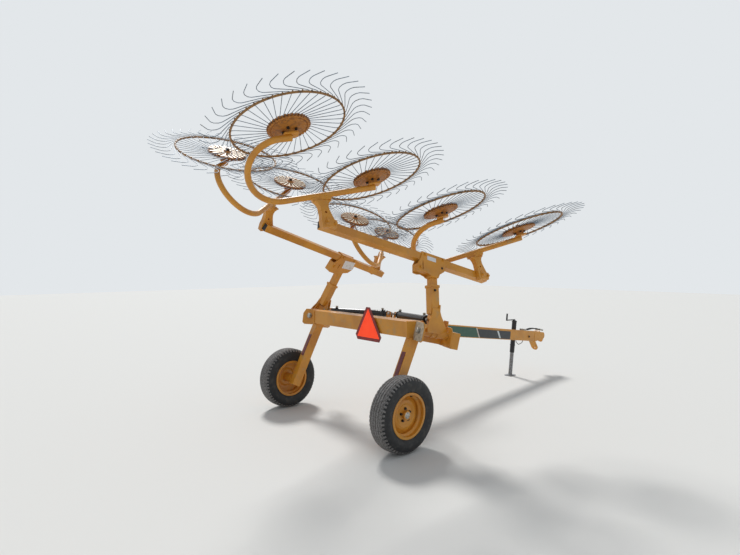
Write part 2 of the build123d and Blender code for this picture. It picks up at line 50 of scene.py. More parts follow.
def srgb(code):
    """The linear colour of a hex code, as the shader's sockets take it."""
    parts = [int(code[i : i + 2], 16) / 255 for i in (1, 3, 5)]
    linear = [p / 12.92 if p <= 0.04045 else ((p + 0.055) / 1.055) ** 2.4 for p in parts]
    return (*linear, 1.0)


def add_node(finish, kind, inputs=None, **settings):
    """Add one shader node, with its settings, and its inputs as values or links."""
    made = finish.node_tree.nodes.new("ShaderNode" + kind)
    for setting, value in settings.items():
        setattr(made, setting, value)
    for socket, value in (inputs or {}).items():
        if isinstance(value, bpy.types.NodeSocket):
            finish.node_tree.links.new(value, made.inputs[socket])
        else:
            made.inputs[socket].default_value = value
    return made


def new_finish(name, colour, roughness, metallic=0.0):
    """A material with one plain colour, and its shader to build on."""
    finish = bpy.data.materials.new(name)
    finish.use_nodes = True
    shader = finish.node_tree.nodes["Principled BSDF"]
    shader.inputs["Base Color"].default_value = srgb(colour)
    shader.inputs["Roughness"].default_value = roughness
    shader.inputs["Metallic"].default_value = metallic
    if not metallic:
        shader.inputs["IOR"].default_value = RESIN_IOR
    return finish, shader


def mottle(finish, shader, base, other, patch, low=0.45, high=0.65, detail=3.0):
    """Lay another colour over the finish in soft patches about 'patch' metres across."""
    place = add_node(finish, "TexCoord")
    sizes = {"Vector": place.outputs["Object"], "Scale": 1 / patch, "Detail": detail}
    noise = add_node(finish, "TexNoise", sizes)
    spread = {"Value": noise.outputs["Fac"], "From Min": low, "From Max": high}
    share = add_node(finish, "MapRange", spread)
    # sockets 6, 7 and 2 are the colour mix's two inputs and its output
    mixed = add_node(finish, "Mix", {"Factor": share.outputs["Result"], 7: srgb(other)}, data_type="RGBA")
    if isinstance(base, str):
        mixed.inputs[6].default_value = srgb(base)
    else:
        finish.node_tree.links.new(base, mixed.inputs[6])
    finish.node_tree.links.new(mixed.outputs[2], shader.inputs["Base Color"])
    return mixed.outputs[2]


def mottled(name, colour, roughness, base, other, patch, metallic=0.0, **spread):
    """A finish that another colour covers in soft patches."""
    finish, shader = new_finish(name, colour, roughness, metallic)
    mottle(finish, shader, base, other, patch, **spread)
    return finish


def grain(finish, shader, size, height):
    """Roughen the surface with lumps 'size' metres across and 'height' metres high."""
    place = add_node(finish, "TexCoord")
    sizes = {"Vector": place.outputs["Object"], "Scale": 1 / size, "Detail": 2.0}
    noise = add_node(finish, "TexNoise", sizes)
    bump = add_node(finish, "Bump", {"Height": noise.outputs["Fac"], "Strength": 0.5, "Distance": height})
    finish.node_tree.links.new(bump.outputs["Normal"], shader.inputs["Normal"])


def coat(mesh, finish):
    """Give a mesh one finish and no other."""
    mesh.materials.clear()
    mesh.materials.append(finish)


def dress(finish, *names):
    """Give CAD nodes one finish."""
    for name in names:
        coat(frame["nodes"][name].data, finish)


# Enamel: a dielectric coat over steel, so it keeps its colour at every angle and shines softly.
enamel, enamel_shader = new_finish("machine_enamel", "#CB8B2E", 0.36)
faded = mottle(enamel, enamel_shader, "#D4922F", "#C2812B", 0.3)
dusted = mottle(enamel, enamel_shader, faded, "#B58E56", 0.09, low=0.58, high=0.8, detail=6.0)
mottle(enamel, enamel_shader, dusted, "#8A5A2A", 0.012, low=0.68, high=0.78, detail=6.0)
grain(enamel, enamel_shader, 0.004, 0.0004)

# the two sides, each with its way outwards along Y
SIDES = {"right": -1, "left": 1}
dress(enamel, "crossbeam", "tongue", "wheel_legs", "cylinder_lugs", "hitch_clevis")
for side in SIDES:
    dress(enamel, "lift_arm_" + side, "slide_tube_" + side, "rake_beam_" + side, "wheel_rim_" + side)


# Weld seams: one rippled fillet of mild steel round each joint of the frame, laid by hand
# and painted over with the rest.
def choose(piece):
    """Make one piece the only one selected."""
    bpy.ops.object.select_all(action="DESELECT")
    piece.select_set(True)
    bpy.context.view_layer.objects.active = piece


def wire(name, line, radius, sides=6, ripple=1.0):
    """A round bar along a line of points, as a closed mesh; 'ripple' thins every other point."""
    bpy.ops.object.select_all(action="DESELECT")
    bpy.ops.curve.primitive_nurbs_path_add(location=(0, 0, 0))
    piece = bpy.context.object
    piece.name = name
    piece.data.splines.clear()
    run = piece.data.splines.new("POLY")
    run.points.add(len(line) - 1)
    for i, (point, at) in enumerate(zip(run.points, line)):
        point.co = (*at, 1.0)
        point.radius = ripple if i % 2 else 1.0
    piece.data.dimensions = "3D"
    piece.data.bevel_depth = radius
    piece.data.bevel_resolution = max(0, sides // 2 - 2)
    piece.data.use_fill_caps = True
    choose(piece)
    bpy.ops.object.convert(target="MESH")
    return bpy.context.object


def smooth(piece, degrees=35):
    """Shade smooth, but keep the edges that are sharper than 'degrees'."""
    choose(piece)
    bpy.ops.object.shade_smooth_by_angle(angle=math.radians(degrees))


def seat(point, along, near=(1, 0, 0)):
    """A place: its origin at the point, Z along one direction and X near another."""
    z = Vector(along).normalized()
    x = Vector(near) - z * z.dot(Vector(near))
    x.normalize()
    return rig(point, x, z.cross(x), z)


def rig(point, x, y, z):
    """A place from its origin and its three directions, mirrored or not."""
    place = Matrix((Vector(x), Vector(y), Vector(z))).transposed().to_4x4()
    place.translation = Vector(point)
    return place


def placed(piece, place):
    """Move a piece's mesh to its place, and keep its origin at the shared one."""
    piece.data.transform(place @ piece.matrix_world)
    piece.matrix_world = Matrix.Identity(4)
    if place.determinant() < 0:
        piece.data.flip_normals()
    return piece


def lay(piece, place, body, finish=None):
    """Put a finished piece in its place and let it ride on its body."""
    placed(piece, place)
    if finish is not None:
        coat(piece.data, finish)
    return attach(piece, body)


def join(name, pieces):
    """Make several pieces one mesh."""
    choose(pieces[0])
    for piece in pieces:
        piece.select_set(True)
    bpy.ops.object.join()
    bpy.context.object.name = name
    return bpy.context.object


def bead(name, corners, place, body, radius=0.0042, pitch=0.006):
    """A weld seam along the corners, with a ripple at every 'pitch'."""
    line = []
    for here, there in zip(corners, corners[1:]):
        start, stop = Vector(here), Vector(there)
        steps = max(2, round((stop - start).length / pitch))
        line += [start.lerp(stop, i / steps) for i in range(steps)]
    line.append(Vector(corners[-1]))
    piece = wire(name, line, radius, 6, ripple=0.72)
    smooth(piece, 60)
    return lay(piece, place, body, enamel)


def rectangle(across, up):
    """The corners of a rectangle round its middle, and the first one again."""
    return [(-across, -up), (across, -up), (across, up), (-across, up), (-across, -up)]


# the chassis measured from the middle of the axle line: crossbeam, tongue and wheel legs
AXLE_MIDDLE = Matrix.Translation((-1.197, 0.167, 0.0))
TONGUE_FOOT = 0.404
foot_corners = ((-0.052, 0.985), (-0.052, 1.100), (0.052, 1.100), (0.052, 0.985))
bead("weld_tongue", [(TONGUE_FOOT, y, z) for y, z in foot_corners], AXLE_MIDDLE, "chassis")
LEG_TOP = (0.326, 0.780, 0.983)
LEG_HALF = (0.059, 0.040)
for side, outward in SIDES.items():
    x, y, z = LEG_TOP
    ring = [(x + dx, dy, z) for dx, dy in rectangle(*LEG_HALF)]
    bead("weld_leg_" + side, ring, AXLE_MIDDLE @ Matrix.Translation((0, outward * y, 0)), "chassis")


# Road tyres: moulded black rubber on 15 inch rims. The tread has five ribs between four
# grooves, cut shoulders, and pale gravel dust ground into all that meets the road.
def press_faces(piece, wanted, height):
    """Raise the wanted faces by a height, or cut them in where it is negative."""
    choose(piece)
    bpy.ops.object.mode_set(mode="EDIT")
    bpy.ops.mesh.select_mode(type="FACE")
    bpy.ops.mesh.select_all(action="DESELECT")
    bpy.ops.object.mode_set(mode="OBJECT")
    for face in piece.data.polygons:
        face.select = bool(wanted(face))
    bpy.ops.object.mode_set(mode="EDIT")
    bpy.ops.mesh.extrude_region_shrink_fatten(TRANSFORM_OT_shrink_fatten={"value": height})
    bpy.ops.object.mode_set(mode="OBJECT")


def from_axis(face):
    """How far a face's middle lies from Z."""
    return math.hypot(face.center.x, face.center.y)


def sector(face, steps):
    """The number of the step round Z, out of all the spin's steps, that a face lies in."""
    turn = math.atan2(face.center.y, face.center.x) + math.pi
    return int(turn / math.tau * steps + 0.25)


def trace(name, points):
    """Draw a line of edges through the points, and stay in edit mode with all of it selected."""
    bpy.ops.object.select_all(action="DESELECT")
    bpy.ops.mesh.primitive_plane_add(size=0.01, location=(0, 0, 0))
    piece = bpy.context.object
    piece.name = name
    bpy.ops.object.mode_set(mode="EDIT")
    bpy.ops.mesh.select_mode(type="VERT")
    bpy.ops.mesh.select_all(action="SELECT")
    bpy.ops.mesh.merge(type="CENTER")
    bpy.ops.transform.translate(value=points[0])
    for before, after in zip(points, points[1:]):
        step = [b - a for a, b in zip(before, after)]
        bpy.ops.mesh.extrude_region_move(TRANSFORM_OT_translate={"value": step})
    bpy.ops.mesh.select_all(action="SELECT")
    return piece


def lathe(name, outline, steps):
    """Spin an outline of (radius, height) points round Z into a closed or open form."""
    piece = trace(name, [(radius, 0, height) for radius, height in outline])
    bpy.ops.mesh.spin(steps=steps, angle=math.tau, center=(0, 0, 0), axis=(0, 0, 1))
    bpy.ops.mesh.select_all(action="SELECT")
    bpy.ops.mesh.remove_doubles(threshold=0.00002)
    bpy.ops.mesh.normals_make_consistent(inside=False)
    bpy.ops.object.mode_set(mode="OBJECT")
    return piece


def copied(piece, name):
    """A copy with its own mesh."""
    choose(piece)
    bpy.ops.object.duplicate()
    made = bpy.context.object
    made.name = name
    return made


# Rubber: carbon black gives a near-black that scatters softly; dust makes the tread matt and grey.
sidewall = mottled("tyre_sidewall_rubber", "#1D1E20", 0.62, "#1B1C1E", "#3A3936", 0.05, low=0.5, high=0.75)
tread = mottled("dusty_tread_rubber", "#7C7975", 0.9, "#858280", "#5F5C59", 0.012, low=0.4, high=0.6)

TYRE_STEPS = 108
TREAD_FROM = 0.318
SHOULDER = (0.318, 0.338)
TREAD_EDGE = 0.062
SHOULDER_CUT = 0.006
half_section = [
    (0.3430, 0.0100), (0.3360, 0.0115), (0.3360, 0.0165), (0.3428, 0.0180), (0.3424, 0.0400),
    (0.3350, 0.0415), (0.3350, 0.0465), (0.3416, 0.0480), (0.3385, 0.0620), (0.3300, 0.0780),
    (0.3120, 0.0940), (0.2900, 0.1005), (0.2650, 0.1020), (0.2400, 0.0975), (0.2220, 0.0900),
    (0.2160, 0.0905), (0.2110, 0.0870), (0.2065, 0.0775), (0.1905, 0.0775),
]
tyre_section = [(r, -h) for r, h in reversed(half_section)] + half_section
tyre_section.append(tyre_section[0])
tyre = lathe("tyre", tyre_section, TYRE_STEPS)


def shoulder_cut(face):
    """Every other step of the shoulder, on both sides of the tread."""
    on_shoulder = SHOULDER[0] < from_axis(face) < SHOULDER[1] and abs(face.center.z) > TREAD_EDGE
    return on_shoulder and sector(face, TYRE_STEPS) % 2


press_faces(tyre, shoulder_cut, -SHOULDER_CUT)
smooth(tyre, 30)
tyre.data.materials.append(sidewall)
tyre.data.materials.append(tread)
for face in tyre.data.polygons:
    face.material_index = int(from_axis(face) > TREAD_FROM)

joints = {joint["name"]: joint for joint in frame["joints"]}
wheel_place = {}
for side, outward in SIDES.items():
    hub_at = joints["transport_wheel_spin_" + side]["pos_m"]
    wheel_place[side] = seat(hub_at, (0, outward, 0))
    piece = copied(tyre, "road_tyre_" + side)
    lay(piece, wheel_place[side], "transport_wheel_" + side)
    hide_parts("tyre_" + side)
bpy.data.objects.remove(tyre)


# Wheel nuts and hub cap: five black lug nuts on each pressed disc, round a zinc-plated
# bearing cap turned from steel, with the rubber valve through the rim's well.
def polar(radius, degrees, height=0.0):
    """A point by its distance from Z, its turn round Z and its height."""
    turn = math.radians(degrees)
    return Vector((radius * math.cos(turn), radius * math.sin(turn), height))


def apply_modifier(piece, kind, **settings):
    """Work a piece with one modifier and its settings."""
    added = piece.modifiers.new(kind.lower(), kind)
    for setting, value in settings.items():
        setattr(added, setting, value)
    choose(piece)
    bpy.ops.object.modifier_apply(modifier=added.name)


def nut(across, height):
    """A nut or bolt head, its corners bevelled, on a washer at Z 0."""
    bpy.ops.object.select_all(action="DESELECT")
    bpy.ops.mesh.primitive_cylinder_add(
        vertices=6, radius=across / math.sqrt(3), depth=height, location=(0, 0, height * 0.72)
    )
    piece = bpy.context.object
    apply_modifier(piece, "BEVEL", width=across * 0.07)
    bpy.ops.mesh.primitive_cylinder_add(
        vertices=16, radius=across * 0.68, depth=height * 0.24, location=(0, 0, height * 0.12)
    )
    piece = join("pattern_nut", [piece, bpy.context.object])
    bpy.ops.object.transform_apply(location=True, rotation=True, scale=True)
    return piece


def fasteners(name, places, across, height, body, finish):
    """One mesh of like nuts, one at each place."""
    pattern = nut(across, height)
    made = []
    for place in places:
        made.append(copied(pattern, name))
        made[-1].data.transform(place)
    bpy.data.objects.remove(pattern)
    return lay(join(name, made), Matrix.Identity(4), body, finish)


def bolt_circle(place, radius, count, start, height):
    """Places for bolts on a circle round a wheel's axis, the first one at the start angle."""
    spots = []
    for i in range(count):
        at = place @ polar(radius, start + 360 / count * i, height)
        spots.append(seat(at, place.col[2].xyz))
    return spots


def turned(name, outline, steps, place, body, finish):
    """A piece turned to an outline, in its place."""
    piece = lathe(name, outline, steps)
    smooth(piece)
    return lay(piece, place, body, finish)


# Zinc plate: thin bright plating gone dull, so it reflects the sky in a broad soft glow.
zinc = mottled("weathered_zinc_plate", "#A9A8A2", 0.42, "#B4B3AD", "#7E7466", 0.012, metallic=0.9)
# Black steel: oiled scale, near black with a dull gleam and some brown.
dark_steel = mottled("oiled_black_steel", "#2B2724", 0.5, "#2E2A27", "#4E3A2A", 0.01, metallic=0.6)

stem_outline = [
    (0.0, 0.0), (0.0060, 0.0), (0.0060, 0.010), (0.0042, 0.013), (0.0042, 0.026), (0.0034, 0.027),
    (0.0, 0.027),
]
for side in SIDES:
    place = seat(wheel_place[side] @ Vector((0.060, 0.158, 0.034)), wheel_place[side].col[2].xyz)
    body = "transport_wheel_" + side
    turned("valve_stem_" + side, stem_outline, 16, place, body, sidewall)

LUG_CIRCLE = 0.057
DISC_FACE = 0.030
cap_outline = [
    (0.0, 0.066), (0.024, 0.0655), (0.030, 0.062), (0.0315, 0.056), (0.0315, 0.040), (0.036, 0.037),
    (0.036, 0.031),
]
for side in SIDES:
    spots = bolt_circle(wheel_place[side], LUG_CIRCLE, 5, 90, DISC_FACE)
    body = "transport_wheel_" + side
    fasteners("lug_nuts_" + side, spots, 0.019, 0.014, body, dark_steel)
    turned("hub_cap_" + side, cap_outline, 32, wheel_place[side], body, zinc)


# Pivot brackets: flame-cut plate welded on each mitred end of the crossbeam. A web stands
# along the beam's end, a plate at each end of it carries the fold pin, and a channel guards
# the pin's front end. On the right a bare keeper plate covers the rear plate.
def sheet(name, outline, thickness, corner=0.0, edge=0.0015):
    """A flat plate in XY, from Z 0 up, its corners rounded and its edges broken."""
    piece = trace(name, [(x, y, 0) for x, y in outline])
    bpy.ops.mesh.edge_face_add()
    if corner:
        bpy.ops.mesh.bevel(offset=corner, segments=5, affect="VERTICES", clamp_overlap=True)
    bpy.ops.mesh.select_all(action="SELECT")
    bpy.ops.mesh.extrude_region_move(TRANSFORM_OT_translate={"value": (0, 0, thickness)})
    bpy.ops.mesh.select_all(action="SELECT")
    bpy.ops.mesh.normals_make_consistent(inside=False)
    bpy.ops.object.mode_set(mode="OBJECT")
    if edge:
        apply_modifier(piece, "BEVEL", width=edge, angle_limit=math.radians(50))
    return piece


PLATE = 0.012
PLATE_AT = 0.140
WEB_FROM, WEB_TO = 0.100, 0.120
FOLD_AXIS = Vector((0.897669, -0.382888, -0.218143))
INBOARD = Vector((0.392337, 0.919821, 0.0))
UPWARD = FOLD_AXIS.cross(INBOARD)
flip = {"right": Vector((1, 1, 1)), "left": Vector((1, -1, 1))}
web_outline = [
    (-0.254, 0.058), (-0.218, -0.100), (0.152, -0.100), (0.152, 0.060), (0.122, 0.007), (-0.062, 0.007),
    (-0.082, 0.094),
]
rear_outline = [
    (0.120, 0.084), (-0.060, 0.084), (-0.098, 0.030), (-0.098, -0.084), (-0.066, -0.104), (0.120, -0.104),
]
front_outline = [(0.120, 0.140), (0.032, 0.140), (0.032, 0.086)] + rear_outline[1:]
guard_outline = [
    (0.058, 0.048), (-0.098, 0.048), (-0.098, -0.108), (0.058, -0.108), (0.058, -0.096), (-0.086, -0.096),
    (-0.086, 0.036), (0.058, 0.036),
]
keeper_outline = [
    (0.117, 0.080), (-0.058, 0.080), (-0.094, 0.028), (-0.094, -0.082), (-0.064, -0.100), (0.117, -0.100),
]
pivot_place = {}
bracket_parts = []
for side in SIDES:
    way = flip[side]
    at = Vector(joints["fold_" + side]["pos_m"])
    pivot_place[side] = rig(at, INBOARD * way, UPWARD * way, FOLD_AXIS * way)
    web_place = rig(at + INBOARD * way * WEB_TO, FOLD_AXIS * way, UPWARD * way, INBOARD * way * -1)
    bracket_parts.append(placed(sheet("web", web_outline, WEB_TO - WEB_FROM), web_place))
    for outline, along, depth in (
        (rear_outline, -PLATE_AT - PLATE, PLATE),
        (front_outline, PLATE_AT, PLATE),
        (guard_outline, PLATE_AT + PLATE, 0.078),
    ):
        plate = sheet("plate", outline, depth, edge=0.002)
        bracket_parts.append(placed(plate, pivot_place[side] @ Matrix.Translation((0, 0, along))))
brackets = join("pivot_bracket_plates", bracket_parts)
lay(brackets, Matrix.Identity(4), "chassis", enamel)
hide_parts("pivot_brackets")
for side in SIDES:
    for end, along in (("rear", -0.137), ("front", 0.137)):
        seam = [(WEB_FROM - 0.002, y, along) for y in (-0.098, 0.004)]
        bead("weld_bracket_" + end + "_" + side, seam, pivot_place[side], "chassis")

# Sun-bleached primer: flat and chalky, so the bare plate looks pale beside the enamel.
primer = mottled("chalky_grey_primer", "#B3A38C", 0.75, "#B9A992", "#98876F", 0.03)
KEEPER = 0.003
keeper = sheet("keeper_plate", keeper_outline, KEEPER, edge=0.0008)
behind = Matrix.Translation((0, 0, -PLATE_AT - PLATE - KEEPER - 0.0002))
lay(keeper, pivot_place["right"] @ behind, "chassis", primer)

PIN_HALF = 0.168
pins = []
for side in SIDES:
    profile = [(0.0, -PIN_HALF), (0.0185, -PIN_HALF), (0.0215, -PIN_HALF + 0.003)]
    profile += [(r, -h) for r, h in reversed(profile)]
    pins.append(placed(lathe("pin", profile, 32), pivot_place[side]))
pins = join("fold_pins", pins)
smooth(pins)
lay(pins, Matrix.Identity(4), "chassis", zinc)
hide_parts("pivot_pins")
for side in SIDES:
    ends = []
    for turn in (-1, 1):
        at = pivot_place[side] @ Vector((0, 0, turn * (PLATE_AT + PLATE + 0.0035)))
        ends.append(seat(at, FOLD_AXIS * flip[side] * turn, INBOARD * flip[side]))
    fasteners("fold_pin_nuts_" + side, ends, 0.046, 0.022, "chassis", zinc)


# Reflector strips: maroon retroreflective tape, pressed in fine cells and stuck on the back
# of each wheel leg.
# Reflector tape: deep red under a clear face, broken up by its pressed cells.
reflector, reflector_shader = new_finish("maroon_reflector_tape", "#6B2528", 0.3)
mottle(reflector, reflector_shader, "#722A2C", "#58201F", 0.02)
CELL = 0.004
place = add_node(reflector, "TexCoord")
cells = add_node(reflector, "TexVoronoi", {"Vector": place.outputs["Object"], "Scale": 1 / CELL})
lines = {"Height": cells.outputs["Distance"], "Strength": 0.4, "Distance": CELL / 10}
pressed = add_node(reflector, "Bump", lines)
reflector.node_tree.links.new(pressed.outputs["Normal"], reflector_shader.inputs["Normal"])
dress(reflector, "reflector_strips")


# Fold cylinders: two double-acting hydraulic cylinders of drawn tube in gloss black, with
# chromed rods, between ears on the tongue and cheeks on the lift arms. Zinc pins hold them.
# Gloss black shows a soft image of the sky, and hard chrome a clear one.
gloss_black = mottled("gloss_black_paint", "#15161A", 0.32, "#141519", "#2A2927", 0.08, low=0.5, high=0.8)
chrome = mottled("hard_chrome_rod", "#C8CCD0", 0.12, "#C8CCD0", "#9A9C9C", 0.05, metallic=1.0)
EAR_HALF = 0.0383
CHEEK_HALF = 0.0433
PORT_UP = 0.048
CYLINDER_EYES = {"right": (-0.7168, -0.7051, 1.1410), "left": (-0.7137, 1.0182, 1.1170)}
for side in SIDES:
    dress(gloss_black, "cylinder_barrel_" + side)
    dress(chrome, "cylinder_rod_" + side)
    way = flip[side]
    axis = FOLD_AXIS * way
    base = Vector(joints["cylinder_tilt_" + side]["pos_m"])
    eye = Vector(CYLINDER_EYES[side])
    spots = [seat(base + axis * turn * EAR_HALF, axis * turn) for turn in (-1, 1)]
    fasteners("base_pin_nuts_" + side, spots, 0.024, 0.011, "chassis", zinc)
    spots = [seat(eye + axis * turn * CHEEK_HALF, axis * turn) for turn in (-1, 1)]
    fasteners("eye_pin_nuts_" + side, spots, 0.024, 0.011, "row_" + side, zinc)
    line = (eye - base).normalized()
    length = (eye - base).length
    ports = [seat(base + line * at + Vector((0, 0, PORT_UP)), (0, 0, 1)) for at in (0.090, length - 0.155)]
    fasteners("port_plugs_" + side, ports, 0.027, 0.014, "cylinder_barrel_" + side, zinc)
    bands = []
    for at, half in ((0.064, 0.004), (length - 0.146, 0.006), (length - 0.101, 0.005)):
        profile = [(0.036, -half), (0.0445, -half), (0.0455, 0), (0.0445, half), (0.036, half)]
        band = lathe("band", profile + profile[:1], 48)
        bands.append(placed(band, seat(base + line * at, line)))
    bands = join("cylinder_bands_" + side, bands)
    smooth(bands)
    lay(bands, Matrix.Identity(4), "cylinder_barrel_" + side, gloss_black)


# Lift arms: square tube with a bell-shaped plate welded over its outer face, spread at the
# foot to the width of the pivot barrel, and a collar where the slide tube runs out. A bolt
# through the collar and the slide tube sets the height.
TUBE_HALF = 0.0445
COLLAR_SEAM = 0.4455
# the ways of each arm's tube at rest: across it, out of its outer face, and along to the saddle
ARM_WAYS = {
    "right": ((0.9735, -0.1434, -0.1780), (-0.0963, -0.9637, 0.2491), (0.2073, 0.2254, 0.9520)),
    "left": ((0.9711, 0.1246, -0.2037), (-0.0259, 0.9030, 0.4288), (0.2373, -0.4111, 0.8801)),
}
bell_half = [
    (0.122, -0.012), (0.122, 0.020), (0.120, 0.042), (0.108, 0.066), (0.094, 0.092), (0.084, 0.117),
    (0.072, 0.140), (0.060, 0.165), (0.050, 0.200), (TUBE_HALF, 0.235),
]
bell_outline = [(-x, y) for x, y in bell_half] + bell_half[::-1]
for side in SIDES:
    across, outward, along = (Vector(way) for way in ARM_WAYS[side])
    at = Vector(joints["fold_" + side]["pos_m"])
    tube = rig(at, across, along, outward)
    bell = sheet("arm_bell_plate_" + side, bell_outline, 0.010, edge=0.003)
    lay(bell, tube @ Matrix.Translation((0, 0, TUBE_HALF)), "row_" + side, enamel)
    half = TUBE_HALF + 0.001
    seam = [(x + 0.001, y, half) for x, y in bell_half[3:][::-1]]
    bead("weld_bell_front_" + side, seam, tube, "row_" + side, 0.003)
    spots = [seat(tube @ Vector((-0.008, 0.412, TUBE_HALF)), outward, along)]
    fasteners("collar_bolts_" + side, spots, 0.019, 0.011, "row_" + side, dark_steel)
    ring = [(x, COLLAR_SEAM, z) for x, z in rectangle(half, half)]
    bead("weld_collar_" + side, ring, tube, "row_" + side, 0.003)


# Saddles: two plates clamp each rake beam between them, with a slot to set the beam's angle,
# and a rear wall, a foot and a collar that takes the slide tube. A blank white label is
# stuck on the face of each.
def pierce(plate, x, y, radius, stretch=1.0):
    """Cut a round or a long hole through a flat plate."""
    bpy.ops.object.select_all(action="DESELECT")
    bpy.ops.mesh.primitive_cylinder_add(vertices=24, radius=radius, depth=0.2, location=(x, y, 0))
    tool = bpy.context.object
    tool.scale = (1, stretch, 1)
    bpy.ops.object.transform_apply(location=True, rotation=True, scale=True)
    apply_modifier(plate, "BOOLEAN", operation="DIFFERENCE", object=tool)
    bpy.data.objects.remove(tool)


def block(name, low, high, edge=0.002):
    """A square-cornered bar between two corners, its edges broken."""
    bpy.ops.object.select_all(action="DESELECT")
    middle = [(a + b) / 2 for a, b in zip(low, high)]
    bpy.ops.mesh.primitive_cube_add(size=1, location=middle)
    piece = bpy.context.object
    piece.name = name
    piece.scale = [b - a for a, b in zip(low, high)]
    bpy.ops.object.transform_apply(location=True, rotation=True, scale=True)
    apply_modifier(piece, "BEVEL", width=edge)
    return piece


# place of each row at rest: its origin on the beam in the saddle, then its three directions
ROW_PLACES = {
    "right": rig(
        (-0.6342, -0.6352, 1.7134),
        (0.9533, -0.1673, -0.2514),
        (-0.2916, -0.2941, -0.9102),
        (0.0784, 0.9410, -0.3291),
    ),
    "left": rig(
        (-0.5889, 0.7947, 1.7499),
        (0.9551, 0.1529, -0.2538),
        (-0.2962, 0.4690, -0.8320),
        (0.0082, -0.8699, -0.4932),
    ),
}
BEAM_HALF = 0.038
SADDLE_PLATE = 0.010
ANGLE_HOLE = (0.094, 0.066)
# each side's plate outline, its slot, the back of its rear wall, and how far its walls and
# its collar reach down
SADDLES = {
    "right": (
        [
            (-0.165, -0.050), (0.139, -0.050), (0.139, 0.072), (0.120, 0.100), (0.062, 0.142), (0.048, 0.180),
            (-0.048, 0.180), (-0.062, 0.168), (-0.115, 0.156), (-0.160, 0.168), (-0.207, 0.164),
            (-0.207, 0.080), (-0.165, -0.004),
        ],
        (-0.150, 0.098, 8.4),
        -0.207,
        0.150,
        0.184,
    ),
    "left": (
        [
            (-0.120, -0.050), (0.158, -0.050), (0.158, 0.085), (0.118, 0.140), (0.048, 0.165), (0.048, 0.205),
            (-0.172, 0.205), (-0.172, 0.078), (-0.120, -0.008),
        ],
        (-0.078, 0.098, 6.0),
        -0.172,
        0.204,
        0.221,
    ),
}
# White vinyl: satin, a little greyed by dust.
vinyl = mottled("blank_white_vinyl", "#D8D9DA", 0.45, "#E2E3E3", "#B9B2A4", 0.03, low=0.55, high=0.8)
for side in SIDES:
    parts = []
    saddle_outline, (slot_x, slot_y, slot_length), tail, reach, collar_end = SADDLES[side]
    for from_z in (BEAM_HALF, -BEAM_HALF - SADDLE_PLATE):
        plate = sheet("plate", saddle_outline, SADDLE_PLATE, corner=0.006)
        pierce(plate, slot_x, slot_y, 0.006, stretch=slot_length)
        if side == "right":
            pierce(plate, *ANGLE_HOLE, 0.013)
        parts.append(placed(plate, Matrix.Translation((0, 0, from_z))))
    for low, high in (
        ((tail + 0.001, 0.082), (tail + 0.011, reach)),
        ((tail + 0.003, reach - 0.010), (0.046, reach)),
        ((-0.110, 0.0385), (0.100, 0.050)),
        ((-0.110, -0.049), (0.100, -0.0385)),
    ):
        parts.append(block("wall", (*low, -BEAM_HALF), (*high, BEAM_HALF)))
    parts.append(block("collar", (-0.047, 0.046, -0.0476), (0.047, collar_end, 0.0476), 0.004))
    saddle = join("saddle_plates_" + side, parts)
    row = ROW_PLACES[side]
    lay(saddle, row, "row_" + side, enamel)
    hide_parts("saddle_" + side)
    spots = []
    for x, y in ((tail + 0.088, -0.024), (0.112, -0.030), (tail + 0.028, 0.122)):
        for turn in (-1, 1):
            at = row @ Vector((x, y, turn * (BEAM_HALF + SADDLE_PLATE)))
            spots.append(seat(at, row.col[2].xyz * turn, row.col[0].xyz))
    fasteners("saddle_bolts_" + side, spots, 0.024, 0.013, "row_" + side, enamel)
row = ROW_PLACES["right"]
angle_at = seat(row @ Vector((*ANGLE_HOLE, -0.043)), -row.col[2].xyz)
fasteners("angle_bolt", [angle_at], 0.019, 0.009, "row_right", dark_steel)
for side, middle, size, turn, face in (
    ("right", (-0.040, 0.004), (0.112, 0.044), 0.0, -1),
    ("left", (0.060, 0.046), (0.172, 0.104), -6.0, 1),
):
    corners = rectangle(size[0] / 2, size[1] / 2)[:-1]
    label = sheet("blank_label_" + side, corners, 0.0006, 0.004, 0.0)
    spin = Matrix.Rotation(math.radians(turn), 4, "Z")
    up = BEAM_HALF + SADDLE_PLATE + 0.0002
    place = Matrix.Translation((*middle, face * up)) @ spin @ Matrix.Diagonal((1, 1, face, 1))
    lay(label, ROW_PLACES[side] @ place, "row_" + side, vinyl)


